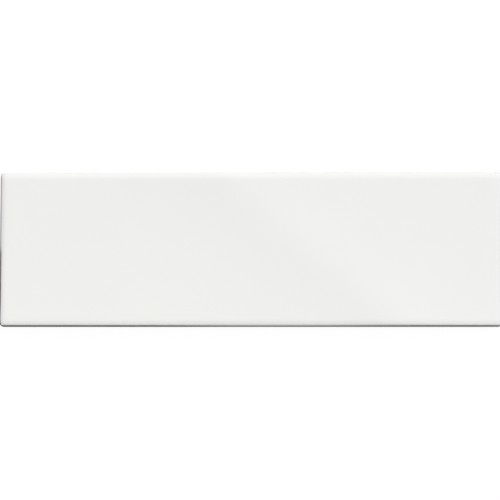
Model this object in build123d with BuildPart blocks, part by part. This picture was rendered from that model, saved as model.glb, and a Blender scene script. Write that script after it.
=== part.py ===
from build123d import *
import os
from math import asinh, ceil, cos, pi, radians, sin

# Glazed ceramic wall tile with a softly undulating face, pressed and fired as one piece.
# It lies on its back: X runs along the length, Y across the width, Z up through the glaze.
# The origin is the centre of the bedding plane under the back. All sizes are millimetres.

# Outline and section
length = 200.0
width = 61.8
thickness = 7.6            # bedding plane to the hollows of the glazed face at its edges
corner_radius = 1.4        # upright corners, seen from above
arris_radius = 0.45        # rounding where the glaze turns over the edge
back_bevel_height = 1.2    # lean of the flanks just above the bedding plane
back_bevel_inset = 0.5

# Cushion: the face dips towards its edges before the arris
cushion_width = 3.0
cushion_drop = 0.45

# Dish: the face is a little hollow across its width
dish_depth = 0.3

# Swells: one narrow diagonal crest between broad hollows
swell_height = 0.7         # hollow to crest
swell_reach = 55.0         # crest to the bottom of the hollow on either side
swell_heading = 49.0       # degrees from +X, square to the crest
swell_crest = 15.4         # the crest, measured from the centre along the heading
crest_softness = 8.3       # smaller for a narrower crest

# Key: shallow cells pressed into the back so that adhesive grips it
key_depth = 0.8
key_rim = 4.5              # plain border around the cells
key_rib = 2.5              # rib between two cells
key_cell = 10.0            # largest side of a cell at its mouth
key_taper = 30.0           # degrees that the walls of a cell lean from upright

# Net of points that the freeform face passes through
net_step = 2.5
net_overhang = 5.0         # reach of the face past the outline that trims it
net_tolerance = 0.005


def swell(x, y):
    """Height of the swells above the hollows: a cosine that slows down away from the crest."""
    heading = radians(swell_heading)
    travel = x * cos(heading) + y * sin(heading) - swell_crest
    phase = pi * asinh(travel / crest_softness) / asinh(swell_reach / crest_softness)
    return swell_height * (1 + cos(phase)) / 2


def cushion(place, size):
    """Drop of the face beside two opposite edges: a parabola that starts level."""
    inside = size / 2 - abs(place)
    reach = max(0.0, 1 - inside / cushion_width)
    return cushion_drop * reach**2


def dish(y):
    """Depth of the hollow across the width: a parabola, deepest along the middle."""
    return dish_depth * (1 - (2 * y / width) ** 2)


def face_point(x, y):
    """Point of the glazed face above a place on the tile."""
    edges = cushion(x, length) + cushion(y, width)
    return (x, y, thickness + swell(x, y) - dish(y) - edges)


def net_places(size):
    """Even places across one size of the tile, past the outline at both ends."""
    span = size + 2 * net_overhang
    steps = ceil(span / net_step)
    return [span * (step / steps - 0.5) for step in range(steps + 1)]


def cell_count(size):
    """Fewest cells, none larger than the largest, that fill one size inside the rim."""
    return ceil((size - 2 * key_rim + key_rib) / (key_cell + key_rib))


# Freeform surface of the glazed face, larger than the tile
glazed_face = Face.make_surface_from_array_of_points(
    [[face_point(x, y) for y in net_places(width)] for x in net_places(length)],
    tol=net_tolerance,
    min_deg=3,
    max_deg=5,
)

with BuildPart() as tile:
    # Pressed blank, taller than the tile, trimmed from above by the glazed face
    with BuildSketch():
        RectangleRounded(length, width, corner_radius)
    extrude(amount=2 * thickness)
    extrude(glazed_face, amount=2 * thickness, dir=(0, 0, -1), mode=Mode.INTERSECT)

    # Glazed arris round the face
    face = tile.faces().sort_by(Axis.Z)[-1]
    fillet(face.edges(), radius=arris_radius)

    # Flanks that lean in to the bedding plane
    back = tile.faces().sort_by(Axis.Z)[0]
    chamfer(back.edges(), length=back_bevel_inset, length2=back_bevel_height, reference=back)

    # Key cells, sharing out the back inside its rim
    columns = cell_count(length)
    rows = cell_count(width)
    pitch_x = (length - 2 * key_rim + key_rib) / columns
    pitch_y = (width - 2 * key_rim + key_rib) / rows
    with BuildSketch():
        with GridLocations(pitch_x, pitch_y, columns, rows):
            Rectangle(pitch_x - key_rib, pitch_y - key_rib)
    extrude(amount=key_depth, taper=key_taper, mode=Mode.SUBTRACT)

tile.part.label = "tile"
os.makedirs("parts", exist_ok=True)
export_step(tile.part, "parts/tile.step")
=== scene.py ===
import math

import bpy
import numpy as np
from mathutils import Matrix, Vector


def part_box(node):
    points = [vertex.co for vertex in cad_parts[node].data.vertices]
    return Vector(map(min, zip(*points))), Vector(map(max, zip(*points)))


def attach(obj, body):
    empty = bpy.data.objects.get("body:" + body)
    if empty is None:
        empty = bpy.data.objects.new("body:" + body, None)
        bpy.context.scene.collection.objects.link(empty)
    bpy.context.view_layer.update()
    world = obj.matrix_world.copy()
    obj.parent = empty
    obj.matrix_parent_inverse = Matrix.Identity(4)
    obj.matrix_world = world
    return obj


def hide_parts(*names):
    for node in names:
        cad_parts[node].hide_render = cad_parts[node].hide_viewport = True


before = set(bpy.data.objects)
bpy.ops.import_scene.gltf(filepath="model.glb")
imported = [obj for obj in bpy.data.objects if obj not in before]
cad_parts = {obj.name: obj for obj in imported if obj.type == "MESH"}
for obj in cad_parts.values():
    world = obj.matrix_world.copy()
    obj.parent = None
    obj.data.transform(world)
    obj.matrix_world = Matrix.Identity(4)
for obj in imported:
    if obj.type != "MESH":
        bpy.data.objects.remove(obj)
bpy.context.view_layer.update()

# Tile
# A white wall tile: clay powder pressed in a die, dipped face down in glaze and fired, so that
# glaze and biscuit are one piece. The glaze wraps the arris and stops a little way down the flanks,
# and the keyed back stays bare for the adhesive. Sizes here are millimetres.

MM = 0.001

tile_low, tile_high = (np.array(corner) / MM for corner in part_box("tile"))
length, width = (tile_high - tile_low)[:2]
half_length, half_width = length / 2, width / 2

thickness = 7.6         # bedding plane to the hollows of the face at its edges
corner_radius = 1.4     # upright corners, seen from above
arris_radius = 0.45     # rounding where the glaze turns over the edge
dish_depth = 0.3        # hollow of the face across its width

# Cushion beside each edge, as the width, drop and power of its curve. Press and glaze leave every
# edge a little different.
far_cushion = (2.8, 0.55, 1.5)
near_cushion = (2.4, 0.47, 2.0)
left_cushion = (2.6, 0.60, 2.0)
right_cushion = (3.0, 0.15, 2.0)

# Bow: the far edge has shrunk in along its left half
far_bow = 0.25
bow_end = 8.0           # middle of the stretch where the bow fades out
bow_fade = 8.0

# Swells: one narrow diagonal crest between broad hollows
swell_height = 0.69     # hollow to crest, a touch under the solid's to stay inside its box
swell_reach = 55.0      # crest to the bottom of the hollow on either side
swell_heading = math.radians(49)
swell_crest = 15.4      # the crest, measured from the centre along the heading
crest_softness = 8.3    # smaller for a narrower crest

# Flanks, and the key pressed into the back
bevel_height = 1.2
bevel_inset = 0.5
bevel_soft = 0.4        # height over which the flank turns into the bevel
key_depth = 0.8
key_rim = 4.5           # plain border around the cells
key_rib = 2.5           # rib between two cells
key_cell = 10.0         # largest side of a cell at its mouth
key_taper = math.radians(30)
key_wall = key_depth * math.tan(key_taper)
fine_step = 1.2         # spacing of the grid lines beside the walls of a cell

# Lower edge of the glaze on the flanks
glaze_drop = 0.9        # mean distance from the arris down to that edge
glaze_wander = 0.35     # how far it strays up and down
glaze_skin = 0.15       # how far the glaze stands proud of the biscuit
glaze_bead = 0.3        # height of the rounded lip where the glaze stops
bead_heights = np.array([1, 0.4, 0.1, 0])    # rings of that lip, as shares of its height
bead_insets = np.array([0, 0.15, 0.5, 1])    # and of the glaze's stand
wander_waves = ((0.5, 9, 0.7), (0.3, 23, 0.0), (0.2, 47, 2.0))    # share, waves round the tile, phase


def key_pitch(size):
    """Distance from cell to cell across one size: the fewest cells, none larger than the largest,
    share out what lies inside the rim."""
    field = size - 2 * key_rim + key_rib
    return field / math.ceil(field / (key_cell + key_rib))


def grid_lines(size):
    """Places of the grid lines across one size: close over the arris, the shoulder and the slope of
    the cushion, then at and beside the walls of every key cell, and midway over cells and ribs."""
    rounding = arris_radius * (1 - np.cos(np.linspace(0, math.pi / 2, 6)))
    shoulder = np.linspace(arris_radius, corner_radius, 4)[1:]
    slope = np.linspace(corner_radius, key_rim, 7)[1:-1]
    edge = np.concatenate([rounding, shoulder, slope])
    pitch = key_pitch(size)
    mouth = pitch - key_rib
    wall = np.array([0, key_wall / 2, key_wall, fine_step, 2 * fine_step])
    cell = np.concatenate([wall, [mouth / 2], mouth - wall[::-1], [mouth + key_rib / 2]])
    starts = np.arange(key_rim, size - key_rim, pitch)
    field = (starts[:, None] + cell).ravel()[:-1]
    return np.concatenate([edge, field, size - edge[::-1]]) - size / 2


def round_corners(x, y, half_x, half_y, radius):
    """Bends the corners of a rectangular grid into arcs. In a corner square, measured from the
    centre of its arc, the larger of the two distances becomes the point's distance from that
    centre, and their ratio, from 0 to 1, its angle from 0 to 45 degrees."""
    over_x = np.abs(x) - (half_x - radius)
    over_y = np.abs(y) - (half_y - radius)
    corner = (over_x > 0) & (over_y > 0)
    reach = np.maximum(np.maximum(over_x, over_y), 1e-9)
    angle = math.pi / 4 * np.minimum(over_x, over_y) / reach
    far, near = reach * np.cos(angle), reach * np.sin(angle)
    bent_x = half_x - radius + np.where(over_x >= over_y, far, near)
    bent_y = half_y - radius + np.where(over_x >= over_y, near, far)
    return (
        np.where(corner, np.sign(x) * bent_x, x),
        np.where(corner, np.sign(y) * bent_y, y),
    )


def swells(x, y):
    """Height of the swells above the hollows: a cosine of the distance from the diagonal crest,
    whose phase is the inverse hyperbolic sine of that distance, so that the waves lengthen."""
    travel = x * math.cos(swell_heading) + y * math.sin(swell_heading) - swell_crest
    phase = math.pi * np.arcsinh(travel / crest_softness) / math.asinh(swell_reach / crest_softness)
    return swell_height * (1 + np.cos(phase)) / 2


def dish(y):
    """Depth of the hollow across the width: a parabola, deepest along the middle."""
    return dish_depth * (1 - (y / half_width) ** 2)


def cushion(inside, edge):
    """Drop beside one edge, by the distance inside it: a power curve that starts at the
    cushion's width and reaches its drop at the edge."""
    reach, drop, power = edge
    return drop * np.clip(1 - inside / reach, 0, None) ** power


def edge_falloff(inside, reach):
    """Strength of a line beside one edge, of bare clay and painted shade, by the distance inside it:
    1 at the edge, falling off as a flat-topped bell curve of the given reach."""
    return np.exp(-((inside / reach) ** 4))


def arris(inset):
    """Drop of the quarter round at the edge, by the distance inside the outline."""
    over = np.clip(arris_radius - inset, 0, None)
    return arris_radius - np.sqrt(arris_radius**2 - over**2)


def inside_cell(place, size):
    """Distance inside the nearest key cell's two walls across one size, below 0 on the ribs."""
    along = np.mod(place + size / 2 - key_rim, key_pitch(size))
    inside = np.minimum(along, key_pitch(size) - key_rib - along)
    return np.where(np.abs(place) > size / 2 - key_rim, -1, inside)


def drawn_in(place, half_size):
    """Places of the back's grid lines: those of the face, squeezed evenly across the rim so that
    the outermost is drawn in by the bevel."""
    inside = half_size - np.abs(place)
    squeezed = half_size - bevel_inset - inside * (1 - bevel_inset / key_rim)
    return np.sign(place) * np.where(inside < key_rim, squeezed, np.abs(place))


def wander(turn):
    """How the glaze's lower edge strays, from -1 to 1, by the angle round the tile: the sum of
    three sine waves, the longest the strongest."""
    return sum(share * np.sin(count * turn + phase) for share, count, phase in wander_waves)


def ramp(place, start, end):
    """Even rise from 0 at the start to 1 at the end, level beyond both."""
    return np.clip((place - start) / (end - start), 0, 1)


def bell(place, middle, reach):
    """Bell curve along an edge: 1 at its middle, falling off over the given reach."""
    return np.exp(-(((place - middle) / reach) ** 2))


def border(numbers):
    """Numbers round the border of a grid, anticlockwise seen from above."""
    return np.concatenate(
        [numbers[:-1, 0], numbers[-1, :-1], numbers[:0:-1, -1], numbers[0, :0:-1]]
    )


def grid_faces(numbers):
    """One four-sided face between each two by two neighbours of a grid, facing up."""
    corners = [numbers[:-1, :-1], numbers[1:, :-1], numbers[1:, 1:], numbers[:-1, 1:]]
    return np.stack(corners, axis=-1).reshape(-1, 4)


# Face sheet: the plan grid lifted by the swells and lowered by the cushion and the arris
plan_x, plan_y = np.meshgrid(grid_lines(length), grid_lines(width), indexing="ij")
inset = np.minimum(half_length - np.abs(plan_x), half_width - np.abs(plan_y))
face_x, face_y = round_corners(plan_x, plan_y, half_length, half_width, corner_radius)
edge_drop = (
    cushion(half_width - face_y, far_cushion)
    + cushion(half_width + face_y, near_cushion)
    + cushion(half_length + face_x, left_cushion)
    + cushion(half_length - face_x, right_cushion)
    + arris(inset)
)
face_z = thickness + swells(face_x, face_y) - dish(face_y) - edge_drop
face_points = np.stack([face_x, face_y, face_z], axis=-1)

# Clay showing through, and painted shade at the arrises. The melt draws back from the far and right
# arrises, where faint lines of clay show. The dark line along the left arris, brown along its near half,
# the one along the near arris, lighter right of its middle, and the darker far line close to the right
# corner are painted shade. Every line has a strength and a reach inwards from its edge, and follows
# the rounded corners, because its distance is taken on the plan grid before that is bent.
left_strength = 0.67
left_reach = 0.50
left_fade = 2.2           # the left line fades out over this stretch at the far corner
brown_strength = 0.45     # added to the left line along its brown stretch
brown_reach = 0.14
brown_start = 1           # across the width, where the brown starts and where it is full
brown_full = -2
pale_strength = 0.42      # taken off the brown a little before the near corner
pale_middle = -27.7
pale_reach = 2.6
near_strength = 1.0
near_reach = 0.27
near_lift_strength = 0.55     # taken off the near painted shade right of its middle
near_lift_middle = 13
near_lift_reach = 48
right_strength = 0.25
right_reach = 0.25
far_strength = 0.12
far_reach = 0.35
corner_shade_strength = 0.30      # added to the far line close to the right corner, as painted shade
corner_shade_inset = 1.9
corner_shade_reach = 0.9

# The left and near lines, and the far line's rise by the right corner, are painted shade; the rest is
# clay showing through.
brown = 1 - pale_strength * bell(face_y, pale_middle, pale_reach)
brown = brown * ramp(face_y, brown_start, brown_full)
left_end = ramp(face_y, half_width, half_width - left_fade)
left_painted_shade = (left_strength + brown_strength * brown) * left_end
near_painted_shade = near_strength - near_lift_strength * bell(face_x, near_lift_middle, near_lift_reach)
far_bare_and_shade = far_strength + corner_shade_strength * bell(face_x, half_length - corner_shade_inset, corner_shade_reach)
face_bare_and_shade = np.max(
    [
        left_painted_shade * edge_falloff(half_length + plan_x, left_reach + brown_reach * brown),
        near_painted_shade * edge_falloff(half_width + plan_y, near_reach),
        right_strength * edge_falloff(half_length - plan_x, right_reach),
        far_bare_and_shade * edge_falloff(half_width - plan_y, far_reach),
    ],
    axis=0,
)

# Back sheet: the same grid, drawn in by the bevel, with the key cells pressed in
back_x, back_y = round_corners(
    drawn_in(plan_x, half_length),
    drawn_in(plan_y, half_width),
    half_length - bevel_inset,
    half_width - bevel_inset,
    corner_radius - bevel_inset,
)
cell_inside = np.minimum(inside_cell(plan_x, length), inside_cell(plan_y, width))
back_z = key_depth * np.clip(cell_inside / key_wall, 0, 1)
back_points = np.stack([back_x, back_y, back_z], axis=-1)

# Flank rings: a profile of height and inset carried round the border, from the face to the back.
# The first follow the lip at the glaze's lower edge, the last two end the bare flank at its bevel.
face_numbers = np.arange(plan_x.size).reshape(plan_x.shape)
rim = border(face_numbers)
face_rim = face_points.reshape(-1, 3)[rim]
back_rim = back_points.reshape(-1, 3)[rim]
step = np.linalg.norm(np.roll(face_rim, -1, axis=0) - face_rim, axis=1)
turn = 2 * math.pi * (np.cumsum(step) - step) / step.sum()
line_height = face_rim[:, 2] - glaze_drop + glaze_wander * wander(turn)
lip_heights = line_height + glaze_bead * bead_heights[:, None]
soft_heights = np.full(len(rim), bevel_height + bevel_soft)
bevel_heights = np.full(len(rim), bevel_height)
flank_heights = np.vstack([lip_heights, soft_heights, bevel_heights])
flank_insets = glaze_skin * np.concatenate([bead_insets, [1, 1]])
glazed_rings = len(bead_heights)
flank_points = face_rim + (back_rim - face_rim) * flank_insets[:, None, None] / bevel_inset
flank_points[:, :, 2] = flank_heights

# One closed mesh from the two sheets and the rings
back_numbers = face_numbers + plan_x.size
flank_numbers = 2 * plan_x.size + np.arange(flank_heights.size).reshape(flank_heights.shape)
rings = np.vstack([rim, flank_numbers, border(back_numbers)])
next_rings = np.roll(rings, -1, axis=1)
flank_faces = np.stack([rings[:-1], rings[1:], next_rings[1:], next_rings[:-1]], axis=-1)
glazed_faces = np.concatenate([grid_faces(face_numbers), flank_faces[:glazed_rings].reshape(-1, 4)])
back_faces = grid_faces(back_numbers)[:, ::-1]
bare_faces = np.concatenate([flank_faces[glazed_rings:].reshape(-1, 4), back_faces])
faces = np.concatenate([glazed_faces, bare_faces])
points = np.concatenate([sheet.reshape(-1, 3) for sheet in (face_points, back_points, flank_points)])

# The far edge bows in along its left half, less and less across the plain rim of the back
bow = far_bow * (1 - np.tanh((points[:, 0] - bow_end) / bow_fade)) / 2
points[:, 1] -= bow * ramp(points[:, 1], half_width - key_rim, half_width)

# How much clay shows and how much painted shade lies at every point: the lines of the arris, painted
# shade among them, go on down the flank, much fainter
flank_faintness = 0.2
flank_bare_and_shade = np.broadcast_to(flank_faintness * face_bare_and_shade.ravel()[rim], flank_heights.shape)
clay_and_painted_shade = np.concatenate([face_bare_and_shade.ravel(), np.ones(plan_x.size), flank_bare_and_shade.ravel()])

sharp_bend = math.radians(32)
tile_mesh = bpy.data.meshes.new("glazed_tile")
tile_mesh.from_pydata((points * MM).tolist(), [], faces.tolist())
slots = np.repeat([0, 1], [len(glazed_faces), len(bare_faces)])
tile_mesh.polygons.foreach_set("material_index", slots)
# This attribute holds both the bare clay and the painted shade of the arrises.
bare_and_shade_layer = tile_mesh.attributes.new("clay_and_painted_shade", "FLOAT", "POINT")
bare_and_shade_layer.data.foreach_set("value", clay_and_painted_shade.astype(np.float32))
tile_mesh.shade_smooth()
tile_mesh.set_sharp_from_angle(angle=sharp_bend)
tile = bpy.data.objects.new("glazed_tile", tile_mesh)
bpy.context.scene.collection.objects.link(tile)


def colour(text):
    """Linear red, green, blue and alpha of an sRGB hex colour."""
    srgb = np.array([int(text[k : k + 2], 16) for k in (1, 3, 5)]) / 255
    linear = np.where(srgb <= 0.04045, srgb / 12.92, ((srgb + 0.055) / 1.055) ** 2.4)
    return (*linear.tolist(), 1.0)


def add_node(tree, kind, inputs, **settings):
    """Adds a node. Settings are its own properties, and inputs gives each socket its value, or
    the output that feeds it."""
    node = tree.nodes.new(kind)
    for name, value in settings.items():
        setattr(node, name, value)
    for socket, value in inputs.items():
        if isinstance(value, bpy.types.NodeSocket):
            tree.links.new(value, node.inputs[socket])
        else:
            node.inputs[socket].default_value = value
    return node


# White gloss glaze, an opaque glass melted on: near neutral white with a clear shine that a fine
# ripple, like the skin of an orange, breaks up a little. Where it is thin, dark clay shows through, and
# the same dark colour is painted shade along the left and near arrises and by the far right corner.
glaze = bpy.data.materials.new("white_gloss_glaze")
glaze.use_nodes = True
tree = glaze.node_tree
tree.nodes.clear()
place = add_node(tree, "ShaderNodeTexCoord", {}).outputs["Object"]
glaze_white = colour("#F2F2EF")
glaze_cloud = colour("#F0F0EE")
# Dark brown of the clay, also used as painted shade on the arrises.
clay_and_shade_brown = colour("#4E4642")
cloud_size = 30 * MM
uneven_size = 4 * MM
ripple_size = 5 * MM
ripple_height = 0.012 * MM
cloud = add_node(tree, "ShaderNodeTexNoise", {"Vector": place, "Scale": 1 / cloud_size, "Detail": 2.0})
body = add_node(
    tree,
    "ShaderNodeMix",
    {0: cloud.outputs["Fac"], 6: glaze_white, 7: glaze_cloud},
    data_type="RGBA",
)
clay_and_shade_mask = add_node(tree, "ShaderNodeAttribute", {}, attribute_name="clay_and_painted_shade")
uneven = add_node(tree, "ShaderNodeTexNoise", {"Vector": place, "Scale": 1 / uneven_size, "Detail": 2.0})
patchy = add_node(
    tree,
    "ShaderNodeMapRange",
    {"Value": uneven.outputs["Fac"], "From Min": 0.3, "From Max": 0.7, "To Min": 0.85, "To Max": 1.05},
)
dark_share = add_node(
    tree,
    "ShaderNodeMath",
    {0: clay_and_shade_mask.outputs["Fac"], 1: patchy.outputs["Result"]},
    operation="MULTIPLY",
    use_clamp=True,
)
body = add_node(
    tree,
    "ShaderNodeMix",
    {0: dark_share.outputs[0], 6: body.outputs[2], 7: clay_and_shade_brown},
    data_type="RGBA",
)
ripple = add_node(tree, "ShaderNodeTexNoise", {"Vector": place, "Scale": 1 / ripple_size, "Detail": 1.0})
ripple_bump = add_node(
    tree,
    "ShaderNodeBump",
    {"Height": ripple.outputs["Fac"], "Strength": 1.0, "Distance": ripple_height},
)
shine = add_node(
    tree,
    "ShaderNodeMapRange",
    {"Value": cloud.outputs["Fac"], "To Min": 0.08, "To Max": 0.14},
)
surface = add_node(
    tree,
    "ShaderNodeBsdfPrincipled",
    {
        "Base Color": body.outputs[2],
        "Roughness": shine.outputs["Result"],
        "IOR": 1.5,
        "Normal": ripple_bump.outputs["Normal"],
    },
)
add_node(tree, "ShaderNodeOutputMaterial", {"Surface": surface.outputs["BSDF"]})

# Biscuit, the bare fired clay: matt pale grey, clouded, with a fine grain from the pressed powder.
# It is darker towards the left end, a painted shade, and rubbed paler on the ribs of the back.
biscuit = bpy.data.materials.new("biscuit_clay")
biscuit.use_nodes = True
tree = biscuit.node_tree
tree.nodes.clear()
place = add_node(tree, "ShaderNodeTexCoord", {}).outputs["Object"]
biscuit_pale = colour("#C2C0BE")
biscuit_dark = colour("#B4B2AF")
# Painted shade, multiplied in towards the left end.
biscuit_left_shade = colour("#DFDEDD")
biscuit_rub = colour("#D8D6D3")
stain_size = 18 * MM
grain_size = 0.8 * MM      # real grains are near 0.3 mm, drawn coarser so that they show
grain_height = 0.03 * MM
rub_depth = 0.3 * MM       # the paler rubbing fades out this far above the bedding plane
shade_from = 0 * MM        # along the length, where the painted shade starts and where it is full
shade_to = -40 * MM
stain = add_node(tree, "ShaderNodeTexNoise", {"Vector": place, "Scale": 1 / stain_size, "Detail": 4.0})
grain = add_node(tree, "ShaderNodeTexNoise", {"Vector": place, "Scale": 1 / grain_size, "Detail": 3.0})
stained = add_node(
    tree,
    "ShaderNodeMix",
    {0: stain.outputs["Fac"], 6: biscuit_pale, 7: biscuit_dark},
    data_type="RGBA",
)
along = add_node(tree, "ShaderNodeSeparateXYZ", {"Vector": place})
# Painted shade: darker towards the left end.
left_shade_ramp = add_node(
    tree,
    "ShaderNodeMapRange",
    {"Value": along.outputs["X"], "From Min": shade_from, "From Max": shade_to},
    interpolation_type="SMOOTHSTEP",
)
left_shaded = add_node(
    tree,
    "ShaderNodeMix",
    {0: left_shade_ramp.outputs["Result"], 6: stained.outputs[2], 7: biscuit_left_shade},
    data_type="RGBA",
    blend_type="MULTIPLY",
)
rubbed = add_node(
    tree,
    "ShaderNodeMapRange",
    {"Value": along.outputs["Z"], "From Min": 0.0, "From Max": rub_depth, "To Min": 0.6, "To Max": 0.0},
)
worn = add_node(
    tree,
    "ShaderNodeMix",
    {0: rubbed.outputs["Result"], 6: left_shaded.outputs[2], 7: biscuit_rub},
    data_type="RGBA",
)
speck = add_node(
    tree,
    "ShaderNodeMapRange",
    {"Value": grain.outputs["Fac"], "From Min": 0.35, "From Max": 0.65, "To Min": 0.9, "To Max": 1.0},
)
clay = add_node(
    tree,
    "ShaderNodeMix",
    {0: 1.0, 6: worn.outputs[2], 7: speck.outputs["Result"]},
    data_type="RGBA",
    blend_type="MULTIPLY",
)
grain_bump = add_node(
    tree,
    "ShaderNodeBump",
    {"Height": grain.outputs["Fac"], "Strength": 1.0, "Distance": grain_height},
)
surface = add_node(
    tree,
    "ShaderNodeBsdfPrincipled",
    {
        "Base Color": clay.outputs[2],
        "Roughness": 0.9,
        "IOR": 1.45,
        "Specular IOR Level": 0.25,
        "Normal": grain_bump.outputs["Normal"],
    },
)
add_node(tree, "ShaderNodeOutputMaterial", {"Surface": surface.outputs["BSDF"]})

tile_mesh.materials.append(glaze)
tile_mesh.materials.append(biscuit)
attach(tile, "root")
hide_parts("tile")

# Floor
# A plain white sheet under the tile. It shows white with a faint shadow, and throws back little
# light, so that the flanks away from the lamp stay dark.

floor_half = 6.0
floor_drop = 0.02 * MM
floor_white = 0.94        # its own white to the eye
floor_shadow = 0.10       # share of the light added to that, which its shadow takes away
floor_bounce = 0.35       # what it throws back on the tile
floor_reflected = 0.9     # how it shows in the gloss

floor_corners = [(-1, -1), (1, -1), (1, 1), (-1, 1)]
floor_points = [(floor_half * x, floor_half * y, -floor_drop) for x, y in floor_corners]
floor_mesh = bpy.data.meshes.new("floor")
floor_mesh.from_pydata(floor_points, [], [(0, 1, 2, 3)])
floor = bpy.data.objects.new("floor", floor_mesh)
bpy.context.scene.collection.objects.link(floor)

white_sheet = bpy.data.materials.new("white_sheet")
white_sheet.use_nodes = True
tree = white_sheet.node_tree
tree.nodes.clear()
ray = add_node(tree, "ShaderNodeLightPath", {})
bounce = add_node(tree, "ShaderNodeBsdfDiffuse", {"Color": (floor_bounce,) * 3 + (1,)})
reflected = add_node(tree, "ShaderNodeBsdfDiffuse", {"Color": (floor_reflected,) * 3 + (1,)})
shadow = add_node(tree, "ShaderNodeBsdfDiffuse", {"Color": (floor_shadow,) * 3 + (1,)})
glow = add_node(tree, "ShaderNodeEmission", {"Strength": floor_white})
seen = add_node(tree, "ShaderNodeAddShader", {0: shadow.outputs[0], 1: glow.outputs[0]})
mirrored = add_node(
    tree,
    "ShaderNodeMath",
    {0: ray.outputs["Is Glossy Ray"], 1: ray.outputs["Is Transmission Ray"]},
    operation="MAXIMUM",
)
indirect = add_node(
    tree,
    "ShaderNodeMixShader",
    {0: mirrored.outputs[0], 1: bounce.outputs[0], 2: reflected.outputs[0]},
)
direct = add_node(
    tree,
    "ShaderNodeMixShader",
    {0: ray.outputs["Is Camera Ray"], 1: indirect.outputs[0], 2: seen.outputs[0]},
)
add_node(tree, "ShaderNodeOutputMaterial", {"Surface": direct.outputs[0]})
floor_mesh.materials.append(white_sheet)

# Light
# One large soft lamp behind the tile's far long edge and to its right, far enough off to light both
# ends alike, in a pale room. The gloss mirrors the room's walls, in soft brighter and dimmer patches.

lamp_zenith = math.radians(54)      # down from straight above
lamp_turn = math.radians(38)        # round to the right from straight behind
lamp_distance = 12.0
lamp_wide = 36.0
lamp_high = 10.5
lamp_radiance = 2.05
room_light = 0.675
wall_patches = 3.4
wall_dim = 0.5
wall_bright = 1.15

lamp_data = bpy.data.lights.new("soft_lamp", "AREA")
lamp_data.shape = "RECTANGLE"
lamp_data.size = lamp_wide
lamp_data.size_y = lamp_high
lamp_data.energy = lamp_radiance * math.pi * lamp_wide * lamp_high
lamp = bpy.data.objects.new("soft_lamp", lamp_data)
lamp.location = (
    lamp_distance * math.sin(lamp_zenith) * math.sin(lamp_turn),
    lamp_distance * math.sin(lamp_zenith) * math.cos(lamp_turn),
    lamp_distance * math.cos(lamp_zenith),
)
lamp.rotation_euler = (-lamp_zenith, 0, -lamp_turn)
lamp.visible_camera = False
lamp.visible_glossy = False
bpy.context.scene.collection.objects.link(lamp)

world = bpy.data.worlds.new("pale_room")
world.use_nodes = True
bpy.context.scene.world = world
tree = world.node_tree
tree.nodes.clear()
ray = add_node(tree, "ShaderNodeLightPath", {})
mirrored = add_node(
    tree,
    "ShaderNodeMath",
    {0: ray.outputs["Is Glossy Ray"], 1: ray.outputs["Is Transmission Ray"]},
    operation="MAXIMUM",
)
facing = add_node(tree, "ShaderNodeTexCoord", {}).outputs["Generated"]
walls = add_node(tree, "ShaderNodeTexNoise", {"Vector": facing, "Scale": wall_patches, "Detail": 0.0})
reflected = add_node(
    tree,
    "ShaderNodeMapRange",
    {
        "Value": walls.outputs["Fac"],
        "From Min": 0.42,
        "From Max": 0.58,
        "To Min": wall_dim,
        "To Max": wall_bright,
    },
    interpolation_type="SMOOTHSTEP",
)
hidden = add_node(
    tree,
    "ShaderNodeMix",
    {0: mirrored.outputs[0], 2: room_light, 3: reflected.outputs["Result"]},
    data_type="FLOAT",
)
level = add_node(
    tree,
    "ShaderNodeMix",
    {0: ray.outputs["Is Camera Ray"], 2: hidden.outputs[0], 3: 1.0},
    data_type="FLOAT",
)
room = add_node(tree, "ShaderNodeBackground", {"Strength": level.outputs[0]})
add_node(tree, "ShaderNodeOutputWorld", {"Surface": room.outputs[0]})

# Camera
# Nearly straight above the tile, tipped so that its near flank just shows. A long lens from a good
# way off keeps the edges all but parallel.

camera_lens = 217.0
camera_sensor = 36.0
camera_reach = 100.0
camera_distance = 1.2
camera_tip = math.radians(7.8)
camera_aim = (-0.33 * MM, -0.67 * MM, 8.0 * MM)

camera_data = bpy.data.cameras.new("camera")
camera_data.sensor_width = camera_sensor
camera_data.lens = camera_lens
camera_data.clip_end = camera_reach
camera = bpy.data.objects.new("camera", camera_data)
camera.location = (
    camera_aim[0],
    camera_aim[1] - camera_distance * math.sin(camera_tip),
    camera_aim[2] + camera_distance * math.cos(camera_tip),
)
camera.rotation_euler = (camera_tip, 0, 0)
bpy.context.scene.collection.objects.link(camera)
bpy.context.scene.camera = camera
bpy.context.scene.view_settings.view_transform = "Standard"
